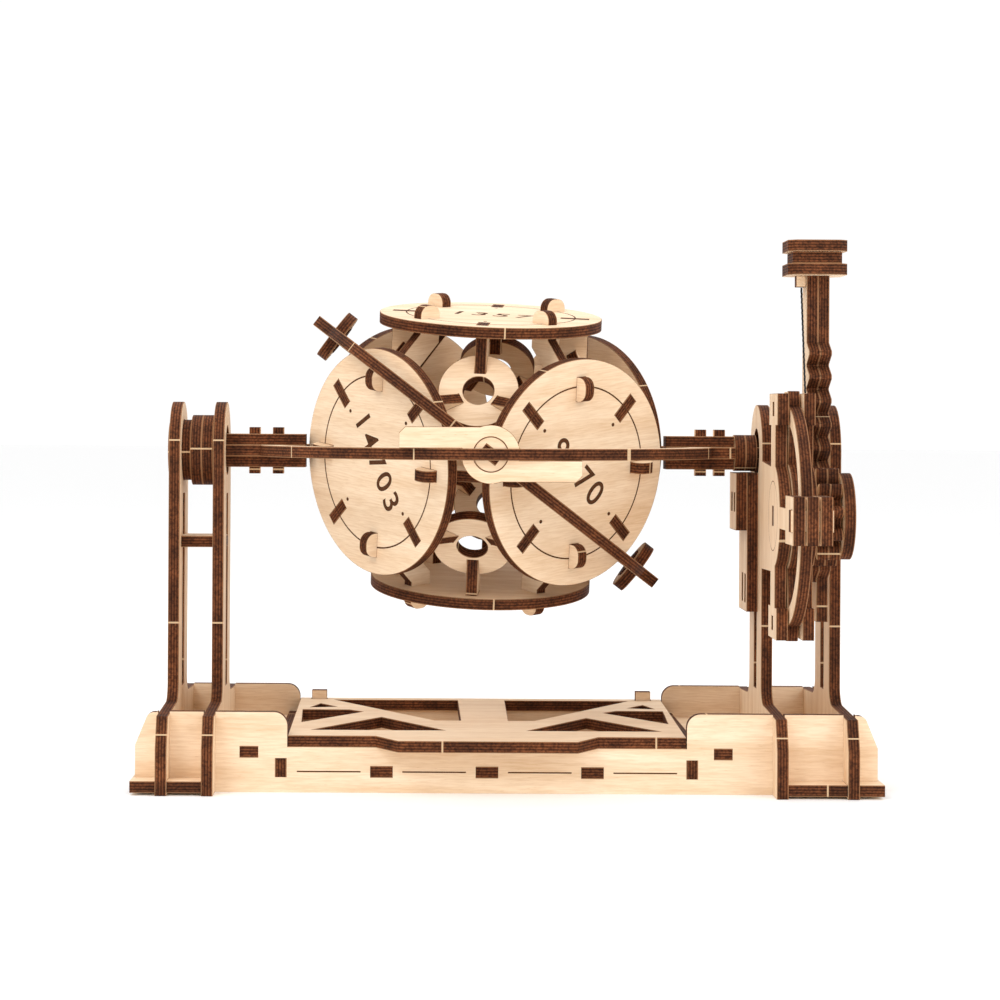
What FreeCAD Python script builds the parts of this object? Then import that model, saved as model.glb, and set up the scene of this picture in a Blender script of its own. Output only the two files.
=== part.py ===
"""Hand-pressed plywood tumbler: a ball of six discs in two gimbal rings on a slotted stand.

Lengths are millimetres. X runs along the axle of the outer ring, Y runs to the back, Z is up.
Outlines are written about the plane of the ring axle; place() moves them by Sheet.mid_y.
"""
import FreeCAD
import Part
import math
import os

SIZES = {
    "ply": 3.0,
    "mid_y": 6.6,
    "axis_z": 87.8,
    "ball_x": -5.0,
    "panel_y": 37.0,
    "panel_end": 95.9,
    "panel_low": 3.7,
    "panel_top": 20.7,
    "block_left": -56.6,
    "block_right": 46.6,
    "panel_bend": 3.5,
    "lap_z": 12.4,
    "floor_end": 96.5,
    "floor_depth": 46.5,
    "floor_mid_z": 2.2,
    "bay_floor_z": 5.4,
    "deck_z": 10.4,
    "rib_left_x": -58.25,
    "rib_right_x": 48.0,
    "rib_low": 3.9,
    "rib_top": 13.0,
    "rib_tab_top": 8.8,
    "tab_half": 2.9,
    "deck_tab_half": 2.4,
    "tab_pitch": 27.25,
    "deck_tab_left": -66.5,
    "deck_tab_right": 56.0,
    "lattice_tilt": 1.4,
    "lattice_front_top": 14.7,
    "lattice_left": -56.5,
    "lattice_right": 46.4,
    "lip_y": -47.5,
    "lip_tip": 23.0,
    "lip_root": 28.8,
    "peg_left_x": -51.1,
    "peg_right_x": 41.2,
    "peg_half": 2.15,
    "peg_top": 19.0,
    "left_outer_x": -88.5,
    "left_inner_x": -76.7,
    "right_inner_x": 70.3,
    "right_outer_x": 88.5,
    "foot_y": 47.0,
    "arch_y": 20.0,
    "arch_z": 3.8,
    "leg_half": 13.0,
    "head_r": 13.1,
    "inner_bore_r": 6.65,
    "outer_bore_r": 8.25,
    "post_slot_half": 3.0,
    "post_slot_low": 24.0,
    "post_slot_top": 76.0,
    "lay_y": -35.656,
    "lay_z": 72.0,
    "cheek_x": 77.1,
    "boss_r": 13.5,
    "bush_r": 9.0,
    "bush_bore_r": 9.05,
    "ring_in": 55.3,
    "ring_out": 61.3,
    "lobe_r": 48.8,
    "arm_half": 6.2,
    "strip_half": 4.1,
    "strip_rise": 3.0,
    "tongue_half": 3.4,
    "left_axle_end": -90.7,
    "right_arm_end": 62.4,
    "right_axle_end": 90.2,
    "key_half": 6.3,
    "drum_r": 9.5,
    "journal_r": 8.2,
    "collar_r": 4.9,
    "hub_y": 57.8,
    "hub_plate_r": 7.4,
    "hub_arm": 23.0,
    "hub_arm_high": 5.4,
    "hub_bore_r": 4.45,
    "hub_disc_r": 4.4,
    "hub_disc_y": 57.5,
    "inner_in": 49.3,
    "inner_out": 54.3,
    "inner_angle": 37.5,
    "inner_lobe": 58.0,
    "pin_half": 2.5,
    "pole_reach": 51.0,
    "pole_r": 7.2,
    "pivot_reach": 50.7,
    "disc_r": 30.0,
    "disc_reach": 36.0,
    "hook_low": 19.0,
    "hook_high": 25.3,
    "hook_tip": 41.0,
    "hook_round": 2.6,
    "corner_reach": 34.5,
    "corner_r": 10.5,
    "corner_hole_r": 4.1,
    "tab_low": 19.0,
    "tab_high": 26.5,
    "tab_foot": 24.3,
    "ball_spin": -10.5,
    "module": 2.0,
    "pressure": 25.0,
    "tooth_slack": 0.3,
    "wheel_x": 73.7,
    "wheel_teeth": 31,
    "wheel_addendum": 1.4,
    "wheel_rim_r": 28.6,
    "wheel_arc": 97.0,
    "pinion_teeth": 8,
    "pinion_addendum": 1.6,
    "pinion_root_r": 6.1,
    "rack_teeth": 11,
    "rack_addendum": 1.9,
    "rack_root_r": 8.6,
    "rack_left_x": 80.8,
    "rack_right_x": 83.8,
    "rack_front_y": -21.5,
    "rack_back_y": -13.5,
    "rack_tip_z": 1.41,
    "rack_first": 9,
    "rack_last": 18,
    "rack_left_low": 54.0,
    "rack_right_low": 43.5,
    "rack_high": 135.1,
    "end_disc_r": 11.2,
    "end_disc_x": 87.2,
    "shaft_start": 68.9,
    "shaft_end": 88.7,
    "knob_x": 81.6,
    "knob_y": -19.25,
    "knob_half": 7.8,
    "knob_low_z": 136.6,
    "knob_pitch": 3.1,
    "thread_r": 0.3,
}

doc = FreeCAD.newDocument("tumbler")
sheet = doc.addObject("Spreadsheet::Sheet", "Sheet")
for row, (alias, number) in enumerate(SIZES.items(), start=1):
    sheet.set("A%d" % row, alias)
    sheet.set("B%d" % row, str(number))
    sheet.setAlias("B%d" % row, alias)
doc.recompute()

NODES = []
PLANES = {"xy": "XY_Plane", "xz": "XZ_Plane", "yz": "YZ_Plane"}


def size(alias):
    """The value of one spreadsheet cell."""
    return float(sheet.get(alias))


T = size("ply")
HALF = T / 2
AXIS_Z = size("axis_z")
BALL_X = size("ball_x")
LAY_Y = size("lay_y")
LAY_Z = size("lay_z")


def box(x0, y0, x1, y1):
    """A rectangle outline from two opposite corners."""
    return [(x0, y0), (x1, y0), (x1, y1), (x0, y1)]


def disc(x, y, radius):
    """A circle outline."""
    return ("circle", x, y, radius)


def slot(x, y, angle, long_half, short_half):
    """A rectangle outline about a centre, its long side turned by an angle in degrees."""
    c = math.cos(math.radians(angle))
    s = math.sin(math.radians(angle))
    corners = [(-long_half, -short_half), (long_half, -short_half),
               (long_half, short_half), (-long_half, short_half)]
    return [(x + a * c - b * s, y + a * s + b * c) for a, b in corners]


def mirror_x(points):
    """The same outline with the first coordinate negated."""
    return [(-p[0],) + tuple(p[1:]) for p in points]


def draw(sketch, outline):
    """Add a closed outline; a corner with four numbers ends an arc through the last two."""
    normal = FreeCAD.Vector(0, 0, 1)
    if outline[0] == "circle":
        centre = FreeCAD.Vector(outline[1], outline[2], 0)
        sketch.addGeometry(Part.Circle(centre, normal, outline[3]), False)
        return
    previous = outline[-1]
    for corner in outline:
        start = FreeCAD.Vector(previous[0], previous[1], 0)
        end = FreeCAD.Vector(corner[0], corner[1], 0)
        if len(corner) == 4:
            through = FreeCAD.Vector(corner[2], corner[3], 0)
            sketch.addGeometry(Part.Arc(start, through, end), False)
        else:
            sketch.addGeometry(Part.LineSegment(start, end), False)
        previous = corner


def new_sketch(body, plane, outlines, name):
    """A sketch on one of the body's own planes."""
    sketch = body.newObject("Sketcher::SketchObject", name)
    face = [f for f in body.Origin.OriginFeatures if f.Role == PLANES[plane]][0]
    sketch.AttachmentSupport = [(face, "")]
    sketch.MapMode = "FlatFace"
    for outline in outlines:
        draw(sketch, outline)
    return sketch


def place(thing, at, turn=None):
    """Bind a position to the sheet; Y is measured from the plane of the ring axle."""
    if turn is not None:
        thing.Placement = FreeCAD.Placement(FreeCAD.Vector(), turn)
    thing.setExpression("Placement.Base.x", str(at[0]))
    thing.setExpression("Placement.Base.y", "%s + Sheet.mid_y" % at[1])
    thing.setExpression("Placement.Base.z", str(at[2]))


def plate(name, plane, pads, cuts=(), at=(0, 0, 0), turn=None, keep=True):
    """One flat plate: padded outlines joined together, then the cuts taken out.

    Each entry of pads is a list of outlines, the outer one first and its holes after it.
    """
    body = doc.addObject("PartDesign::Body", name)
    body.Label = name
    for number, outlines in enumerate(pads):
        sketch = new_sketch(body, plane, outlines, "%s_outline_%d" % (name, number))
        pad = body.newObject("PartDesign::Pad", "%s_pad_%d" % (name, number))
        pad.Profile = sketch
        pad.Midplane = True
        pad.setExpression("Length", "Sheet.ply")
    if cuts:
        doc.recompute()
        before = body.Shape.Volume
        sketch = new_sketch(body, plane, cuts, "%s_cut_outline" % name)
        pocket = body.newObject("PartDesign::Pocket", "%s_cut" % name)
        pocket.Profile = sketch
        pocket.Midplane = True
        pocket.setExpression("Length", "2 * Sheet.ply")
        doc.recompute()
        assert body.Shape.Volume < before, name
    place(body, at, turn)
    if keep:
        NODES.append(body)
    return body


def group(name, members):
    """One node made of several plates that stay separate solids."""
    node = doc.addObject("Part::Compound", name)
    node.Label = name
    node.Links = members
    NODES.append(node)
    return node


def sheet_box(name, start, lengths):
    """A rectangular bar whose corner and sides are bound to the sheet."""
    bar = doc.addObject("Part::Box", name)
    bar.Label = name
    for side, length in zip(("Length", "Width", "Height"), lengths):
        bar.setExpression(side, str(length))
    place(bar, start)
    NODES.append(bar)
    return bar


# ---------------------------------------------------------------- base

def lattice_under(y):
    """Height of the underside of the sloping plate at one depth."""
    tilt = math.radians(size("lattice_tilt"))
    rise = (y + size("panel_y") + HALF) * math.tan(tilt)
    return size("lattice_front_top") + rise - T / math.cos(tilt)


def panel_outline(middle_top):
    """Front or rear panel: a low middle, a raised block at each end, slots for the posts."""
    end = size("panel_end")
    low = size("panel_low")
    top = size("panel_top")
    lap = size("lap_z")
    left_in = size("left_inner_x")
    right_in = size("right_inner_x")
    points = [(left_in - HALF, 0), (right_in + HALF, 0), (right_in + HALF, low), (end, low),
              (end, 12.1), (93.2, 18.7), (90.6, top - 0.2, 92.4, 20.0)]
    for x in (size("right_outer_x"), right_in):
        points += [(x + HALF, top), (x + HALF, lap), (x - HALF, lap), (x - HALF, top)]
    right = size("block_right")
    left = size("block_left")
    bend = size("panel_bend")
    near = 0.3 * bend
    points += [(right + bend, top), (right, top - bend, right + near, top - near), (right, middle_top)]
    points += [(left, middle_top), (left, top - bend),
               (left - bend, top, left - near, top - near)]
    for x in (left_in, size("left_outer_x")):
        points += [(x + HALF, top), (x + HALF, lap), (x - HALF, lap), (x - HALF, top)]
    points += [(-90.6, top - 0.2), (-93.2, 18.7, -92.4, 20.0), (-end, 12.1), (-end, low),
               (left_in - HALF, low)]
    return points


def panel_holes():
    """Holes where the tabs of the floor, decks and ribs come through."""
    half = size("tab_half")
    floor = size("bay_floor_z")
    deck = size("deck_z")
    holes = []
    for step in (-1, 0, 1):
        x = BALL_X + step * size("tab_pitch")
        holes.append(box(x - half, floor - HALF, x + half, floor + HALF))
    half = size("deck_tab_half")
    for x in (size("deck_tab_left"), size("deck_tab_right")):
        holes.append(box(x - half, deck - HALF, x + half, deck + HALF))
    for x in (size("rib_left_x"), size("rib_right_x")):
        holes.append(box(x - HALF, size("rib_low"), x + HALF, size("rib_tab_top")))
    return holes


def floor_outline(sign, outer_x, inner_x, reach_x):
    """Plate under one pair of posts, cut away round their feet."""
    depth = size("floor_depth")
    arch = size("arch_y")
    edge = sign * size("floor_end")
    far = outer_x + sign * HALF
    near = outer_x - sign * HALF
    stop = inner_x + sign * HALF
    side = [(edge, -depth), (far, -depth), (far, -arch), (near, -arch), (near, -depth),
            (stop, -depth), (stop, -arch), (reach_x, -arch)]
    back = [(x, -y) for x, y in reversed(side)]
    return side + back


def tabbed_floor(left, right, tabs, half):
    """Rectangle between the panels with a tab through each panel at every given X."""
    inside = size("panel_y") - HALF
    outside = size("panel_y") + HALF
    front = [(left, -inside)]
    for x in tabs:
        front += [(x - half, -inside), (x - half, -outside), (x + half, -outside), (x + half, -inside)]
    front.append((right, -inside))
    back = [(x, -y) for x, y in reversed(front)]
    return front + back


def rib_outline():
    """Upright plate between the panels with a low tab at each end."""
    inside = size("panel_y") - HALF
    outside = size("panel_y") + HALF
    low = size("rib_low")
    tab = size("rib_tab_top")
    top = size("rib_top")
    return [(-outside, low), (outside, low), (outside, tab), (inside, tab), (inside, top),
            (-inside, top), (-inside, tab), (-outside, tab)]


def lattice_windows():
    """Triangular openings of the sloping plate, the same on both sides of its middle."""
    shapes = [
        [(6.7, 34.0), (41.8, 34.0), (13.4, -8.5), (6.4, -8.5)],
        [(10.6, -27.7), (27.8, -2.2), (45.9, -27.7)],
        [(32.9, 8.5), (37.0, 12.7), (49.8, 12.7), (49.0, -13.0)],
        [(40.4, 18.6), (45.3, 25.5), (48.0, 17.0)],
    ]
    right = [[(BALL_X + u, y) for u, y in shape] for shape in shapes]
    left = [[(BALL_X - u, y) for u, y in shape] for shape in shapes]
    return right + left


def build_base():
    """Panels, floors, ribs, decks and the sloping lattice plate."""
    panel_y = size("panel_y")
    front_top = lattice_under(-panel_y - HALF)
    rear_top = lattice_under(panel_y - HALF)
    for name, top, sign in (("front_panel", front_top, "-"), ("rear_panel", rear_top, "")):
        plate(name, "xz", [[panel_outline(top)] + panel_holes()], at=(0, sign + "Sheet.panel_y", 0))
    left_floor = floor_outline(-1, size("left_outer_x"), size("left_inner_x"), -75.0)
    right_floor = floor_outline(1, size("right_outer_x"), size("right_inner_x"), 69.0)
    plate("left_floor_plate", "xy", [[left_floor]], at=(0, 0, "Sheet.floor_mid_z"))
    plate("right_floor_plate", "xy", [[right_floor]], at=(0, 0, "Sheet.floor_mid_z"))
    rib_left = size("rib_left_x")
    rib_right = size("rib_right_x")
    tabs = [BALL_X + step * size("tab_pitch") for step in (-1, 0, 1)]
    middle = tabbed_floor(rib_left + HALF, rib_right - HALF, tabs, size("tab_half"))
    plate("middle_floor_plate", "xy", [[middle]], at=(0, 0, "Sheet.bay_floor_z"))
    half = size("deck_tab_half")
    deck = tabbed_floor(size("left_inner_x") + HALF, rib_left - HALF, [size("deck_tab_left")], half)
    plate("left_deck", "xy", [[deck]], at=(0, 0, "Sheet.deck_z"))
    deck = tabbed_floor(rib_right + HALF, size("right_inner_x") - HALF, [size("deck_tab_right")], half)
    plate("right_deck", "xy", [[deck]], at=(0, 0, "Sheet.deck_z"))
    plate("left_rib", "yz", [[rib_outline()]], at=("Sheet.rib_left_x", 0, 0))
    plate("right_rib", "yz", [[rib_outline()]], at=("Sheet.rib_right_x", 0, 0))
    build_lattice(rear_top)


def build_lattice(rear_top):
    """The sloping plate with its lip, and the two pegs that stand in its rear edge."""
    panel_y = size("panel_y")
    front = -panel_y - HALF
    back = panel_y + HALF
    left = size("lattice_left")
    right = size("lattice_right")
    root = size("lip_root")
    tip = size("lip_tip")
    lip_y = size("lip_y")
    half = size("peg_half") + 0.05
    inner = panel_y - HALF - 0.2
    outline = [(left, front), (BALL_X - root, front), (BALL_X - tip, lip_y), (BALL_X + tip, lip_y),
               (BALL_X + root, front), (right, front), (right, back)]
    for x in (size("peg_right_x"), size("peg_left_x")):
        outline += [(x + half, back), (x + half, inner), (x - half, inner), (x - half, back)]
    outline.append((left, back))
    tilt = FreeCAD.Rotation(FreeCAD.Vector(1, 0, 0), size("lattice_tilt"))
    height = "Sheet.lattice_front_top + (Sheet.panel_y + Sheet.ply / 2) * tan(Sheet.lattice_tilt * 1 deg)"
    height += " - Sheet.ply / 2 / cos(Sheet.lattice_tilt * 1 deg)"
    plate("lattice_plate", "xy", [[outline] + lattice_windows()], at=(0, 0, height), turn=tilt)
    pegs = []
    half = size("peg_half")
    for side in ("left", "right"):
        outline = box(-half, rear_top, half, size("peg_top"))
        at = ("Sheet.peg_%s_x" % side, "Sheet.panel_y", 0)
        pegs.append(plate("peg_" + side, "xz", [[outline]], at=at, keep=False))
    group("lattice_pegs", pegs)


# ---------------------------------------------------------------- posts

def post_outline():
    """Foot with lap slots, a straight leg and a round head about the axle."""
    foot = size("foot_y")
    arch = size("arch_y")
    leg = size("leg_half")
    head = size("head_r")
    lap = size("lap_z")
    inside = size("panel_y") - HALF
    outside = size("panel_y") + HALF
    meet = AXIS_Z - math.sqrt(head ** 2 - leg ** 2)
    rear = [(arch, size("arch_z")), (arch, 0), (inside, 0), (inside, lap), (outside, lap), (outside, 0),
            (foot, 0), (foot, 12), (foot - 3.5, 20), (leg + 5, 21), (leg, 26, leg + 1.46, 22.46),
            (leg, meet)]
    over = [(-leg, meet, 0, AXIS_Z + head), (-leg, 26), (-leg - 5, 21, -leg - 1.46, 22.46)]
    front = [(-foot + 3.5, 20), (-foot, 12), (-foot, 0), (-outside, 0), (-outside, lap), (-inside, lap),
             (-inside, 0), (-arch, 0), (-arch, size("arch_z"))]
    return rear + over + front


def gear_bracket():
    """Boss for the layshaft with an upright arm, two end blocks and a forward T-head."""
    low = 2 * LAY_Z
    return [
        [disc(LAY_Y, LAY_Z, size("boss_r"))],
        [box(LAY_Y - 4.2, low - 100.0, LAY_Y + 4.2, 100.0)],
        [box(LAY_Y - 8, 95.5, LAY_Y + 8, 103.7)],
        [box(LAY_Y - 8, low - 103.7, LAY_Y + 8, low - 95.5)],
        [box(-62.0, LAY_Z - 2.8, LAY_Y - 12, LAY_Z + 2.8)],
        [box(-74.5, LAY_Z - 6, -60.0, LAY_Z + 6)],
    ]


def bracket_cuts():
    """Layshaft bore, the small slots of the end blocks and the slot for the front tie."""
    return [
        disc(LAY_Y, LAY_Z, size("bush_bore_r")),
        box(LAY_Y - HALF, 97.9, LAY_Y + HALF, 101.5),
        box(LAY_Y - HALF, 2 * LAY_Z - 101.5, LAY_Y + HALF, 2 * LAY_Z - 97.9),
        box(-73.0, LAY_Z - 2.75, -70.0, LAY_Z + 2.75),
    ]


def stiffener(low, back, slot_low, slot_high):
    """Doubling plate with two upright slots side by side, fixed beside the right inner post."""
    slots = [box(y, slot_low, y + 2.8, slot_high) for y in (-2.6, 3.4)]
    return [box(-5, low, back, 82.4)] + slots


def build_posts():
    """Four posts, the gear cheek and the small pieces that join them."""
    half = size("post_slot_half")
    long_slot = box(-half, size("post_slot_low"), half, size("post_slot_top"))
    outline = post_outline()
    for name, bore in (("left_outer", "outer_bore_r"), ("left_inner", "inner_bore_r"),
                       ("right_outer", "outer_bore_r")):
        cuts = [disc(0, AXIS_Z, size(bore)), long_slot]
        plate(name + "_post", "yz", [[outline] + cuts], at=("Sheet.%s_x" % name, 0, 0))
    web = [[(LAY_Y, 57.5), (-10, 57.0), (-10, 86.0), (LAY_Y, 84.5)]]
    cuts = [disc(0, AXIS_Z, size("inner_bore_r")), long_slot] + bracket_cuts()
    pads = [[outline], web] + gear_bracket()
    plate("right_inner_post", "yz", pads, cuts, at=("Sheet.right_inner_x", 0, 0))
    plate("outer_cheek", "yz", gear_bracket(), bracket_cuts(), at=("Sheet.cheek_x", 0, 0))
    sheet_box("front_tie", (68.3, -73.0, LAY_Z - 2.75), (10.8, "Sheet.ply", 5.5))
    spacer = [box(-74.5, LAY_Z - 6, -69.4, LAY_Z + 6), box(-73.0, LAY_Z - 2.75, -70.0, LAY_Z + 2.75)]
    plate("front_spacer", "yz", [spacer], at=("Sheet.wheel_x", 0, 0))
    inner = size("left_inner_x")
    outer = size("left_outer_x")
    bridge = [(outer - HALF, -half), (outer + HALF, -half), (outer + HALF, -8), (inner - HALF, -8),
              (inner - HALF, -half), (inner + HALF, -half)]
    bridge += [(x, -y) for x, y in reversed(bridge)]
    plate("post_spacer", "xy", [[bridge]], at=(0, 0, 63.2))
    stiffeners = []
    for name, layer, shape in (("short", 2, (66.9, 10, 72.0, 77.0)), ("long", 1, (44.9, 13, 47.3, 54.9))):
        at = ("Sheet.right_inner_x - %d * Sheet.ply" % layer, 0, 0)
        stiffeners.append(plate("stiffener_" + name, "yz", [stiffener(*shape)], at=at, keep=False))
    group("post_stiffeners", stiffeners)


# ---------------------------------------------------------------- outer ring

def axle_cross():
    """Section of the left axle: the ring plate between two narrower strips."""
    arm = size("arm_half")
    strip = size("strip_half")
    top = size("strip_rise") + HALF
    right = [(strip, -top), (strip, -HALF), (arm, -HALF), (arm, HALF), (strip, HALF), (strip, top)]
    left = [(-y, -z) for y, z in right]
    return [(y, AXIS_Z + z) for y, z in right + left]


def tongue_hole():
    """Section of the right axle: the bare tongue of the ring plate."""
    half = size("tongue_half")
    return box(-half, AXIS_Z - HALF, half, AXIS_Z + HALF)


def disc_stack(name, start_x, radius, hole):
    """Two discs side by side on the axle, the first one starting at start_x."""
    members = []
    for number in (0, 1):
        outlines = [disc(0, AXIS_Z, size(radius)), hole]
        at = ("%s + Sheet.ply * %s" % (start_x, number + 0.5), 0, 0)
        members.append(plate("%s_%d" % (name, number + 1), "yz", [outlines], at=at, keep=False))
    return group(name, members)


def build_ring_plate(key_xs):
    """The flat ring with both axle arms, in the plane of the axle."""
    arm = size("arm_half")
    lobe = size("lobe_r")
    hub = size("hub_y") + HALF
    half = size("hub_plate_r") + 0.1
    pads = [
        [disc(BALL_X, 0, size("ring_out")), disc(BALL_X, 0, size("ring_in"))],
        [box(size("left_axle_end"), -arm, BALL_X - lobe, arm)],
        [box(BALL_X + lobe, -arm, size("right_arm_end"), arm)],
        [box(size("right_arm_end") - 1, -size("tongue_half"), size("right_axle_end"), size("tongue_half"))],
    ]
    cuts = [box(x - HALF, -HALF, x + HALF, HALF) for x in key_xs]
    cuts += [box(BALL_X - half, -hub, BALL_X + half, -50.0), box(BALL_X - half, 50.0, BALL_X + half, hub)]
    plate("outer_ring_plate", "xy", pads, cuts, at=(0, 0, "Sheet.axis_z"))


def build_outer_ring():
    """Everything that turns with the outer ring."""
    key_xs = (-67.7, -61.3, 53.5, 58.6)
    build_ring_plate(key_xs)
    strip = size("strip_half")
    lobe = size("lobe_r")
    sides = (("left", size("left_axle_end"), BALL_X - lobe), ("right", BALL_X + lobe, size("right_arm_end")))
    for side, start, end in sides:
        keys = [box(x - HALF, -HALF, x + HALF, HALF) for x in key_xs if start < x < end]
        for level, sign in (("upper", "+"), ("lower", "-")):
            at = (0, 0, "Sheet.axis_z %s Sheet.strip_rise" % sign)
            plate("%s_%s_strip" % (side, level), "xy", [[box(start, -strip, end, strip)] + keys], at=at)
    keys = []
    for number, x in enumerate(key_xs):
        outline = box(-HALF, AXIS_Z - size("key_half"), HALF, AXIS_Z + size("key_half"))
        keys.append(plate("axle_key_%d" % (number + 1), "yz", [[outline]], at=(x, 0, 0), keep=False))
    group("axle_keys", keys)
    disc_stack("left_drum", "-84.6", "drum_r", axle_cross())
    disc_stack("left_journal", "-90.7", "journal_r", axle_cross())
    disc_stack("right_collar", "62.5", "collar_r", tongue_hole())
    disc_stack("right_journal", "84.2", "journal_r", tongue_hole())
    arm = size("hub_arm")
    high = size("hub_arm_high")
    clip = 1.5
    rise = HALF + high
    upper = [(0, HALF), (0, rise), (-arm + clip, rise), (-arm, rise - clip), (-arm, HALF)]
    lower = [(-x, -z) for x, z in upper]
    pads = [
        [disc(BALL_X, AXIS_Z, size("hub_plate_r"))],
        [[(BALL_X + x, AXIS_Z + z) for x, z in upper]],
        [[(BALL_X + x, AXIS_Z + z) for x, z in lower]],
    ]
    bore = [disc(BALL_X, AXIS_Z, size("hub_bore_r"))]
    plate("front_hub_plate", "xz", pads, bore, at=(0, "-Sheet.hub_y", 0))
    plate("rear_hub_plate", "xz", pads, bore, at=(0, "Sheet.hub_y", 0))


# ---------------------------------------------------------------- inner ring

def unit(angle):
    """Unit vector in the XZ plane, turned from X towards minus Z by an angle in degrees."""
    a = math.radians(angle)
    return FreeCAD.Vector(math.cos(a), 0, -math.sin(a))


SPIN_AXIS = unit(size("inner_angle"))
BACK = FreeCAD.Vector(0, 1, 0)


def frame_of(x_axis, y_axis):
    """Rotation that lays a sketch along two perpendicular directions."""
    return FreeCAD.Rotation(x_axis, y_axis, x_axis.cross(y_axis), "ZXY")


def from_centre(direction, alias):
    """Sheet expressions for a point out from the ball centre along a direction."""
    return ("Sheet.ball_x + Sheet.%s * (%.6f)" % (alias, direction.x),
            "Sheet.%s * (%.6f)" % (alias, direction.y),
            "Sheet.axis_z + Sheet.%s * (%.6f)" % (alias, direction.z))


CENTRE = ("Sheet.ball_x", 0, "Sheet.axis_z")


def build_inner_ring():
    """The swinging ring, its two hub discs and the two plates that carry the ball."""
    pin = size("pin_half")
    inner = size("inner_in")
    tongue = size("hub_disc_y") + HALF
    lobe = size("inner_lobe")
    pole = size("pole_r")
    wide = [(50.6, -13.0), (lobe, -6.0), (lobe, 6.0), (50.6, 13.0)]
    pads = [
        [disc(0, 0, size("inner_out")), disc(0, 0, inner)],
        [box(-pin, inner + 1, pin, tongue)],
        [box(-pin, -tongue, pin, -inner - 1)],
        [wide],
        [mirror_x(wide)],
    ]
    notch = size("pole_reach") + HALF
    cuts = [box(46.0, -pole, notch, pole), box(-notch, -pole, -46.0, pole)]
    plate("inner_ring_plate", "xy", pads, cuts, at=CENTRE, turn=frame_of(SPIN_AXIS, BACK))
    angle = -size("inner_angle")
    hubs = []
    for name, sign in (("front_hub_disc", "-"), ("rear_hub_disc", "")):
        outlines = [disc(0, 0, size("hub_disc_r")), slot(0, 0, angle, pin, HALF)]
        at = ("Sheet.ball_x", sign + "Sheet.hub_disc_y", "Sheet.axis_z")
        hubs.append(plate(name, "xz", [outlines], at=at, keep=False))
    group("hub_discs", hubs)
    across = SPIN_AXIS.cross(BACK)
    for name, sign in (("lower_pole_plate", 1), ("upper_pole_plate", -1)):
        outlines = [disc(0, 0, pole), disc(0, 0, size("hub_bore_r"))]
        at = from_centre(SPIN_AXIS * sign, "pole_reach")
        plate(name, "xy", [outlines], at=at, turn=frame_of(BACK, across))


# ---------------------------------------------------------------- ball

def ball_axes():
    """Three perpendicular disc directions; their sum lies along the axis the ball turns on."""
    up = SPIN_AXIS * -1
    side = unit(size("inner_angle") - 90)
    axes = []
    for number in range(3):
        angle = math.radians(120 * number)
        round_axis = side * math.cos(angle) + BACK * -math.sin(angle)
        axes.append(up * math.sqrt(1 / 3) + round_axis * math.sqrt(2 / 3))
    spin = FreeCAD.Rotation(up, size("ball_spin"))
    return [spin.multVec(axis) for axis in axes]


def build_discs(axes):
    """Six face discs, each slotted for four hooks and four corner tabs."""
    hook = (size("hook_low") + size("hook_high")) / 2
    hook_half = (size("hook_high") - size("hook_low")) / 2
    tab = (size("tab_low") + size("tab_high")) / 2
    tab_half = (size("tab_high") - size("tab_low")) / 2
    slots = []
    for quarter in range(4):
        a = 90 * quarter
        c = math.cos(math.radians(a))
        s = math.sin(math.radians(a))
        slots.append(slot(hook * c, hook * s, a, hook_half, HALF))
        c = math.cos(math.radians(a + 45))
        s = math.sin(math.radians(a + 45))
        slots.append(slot(tab * c, tab * s, a + 45, tab_half, HALF))
    number = 0
    for index, axis in enumerate(axes):
        for sign in (1, -1):
            number += 1
            turn = frame_of(axes[(index + 1) % 3], axes[(index + 2) % 3])
            outlines = [disc(0, 0, size("disc_r"))] + slots
            at = from_centre(axis * sign, "disc_reach")
            plate("face_disc_%d" % number, "xy", [outlines], at=at, turn=turn)


def build_connectors(axes):
    """Twelve edge connectors; each ends in a hook through two neighbouring discs."""
    low = size("hook_low")
    high = size("hook_high")
    tip = size("hook_tip")
    side = size("disc_reach") - HALF - 1
    bend = size("hook_round")
    near = 0.3 * bend
    hook = [(side - 2.5, low), (tip - bend, low), (tip, low + bend, tip - near, low + near),
            (tip, high - bend), (tip - bend, high, tip - near, high - near), (side, high)]
    other = [(high, side), (high, tip - bend), (high - bend, tip, high - near, tip - near),
             (low + bend, tip), (low, tip - bend, low + near, tip - near), (low, side - 2.5)]
    outline = hook + other
    members = []
    for first, second in ((0, 1), (1, 2), (2, 0)):
        for sign_a in (1, -1):
            for sign_b in (1, -1):
                turn = frame_of(axes[first] * sign_a, axes[second] * sign_b)
                name = "connector_%d" % (len(members) + 1)
                members.append(plate(name, "xy", [[outline]], at=CENTRE, turn=turn, keep=False))
    group("edge_connectors", members)


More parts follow.
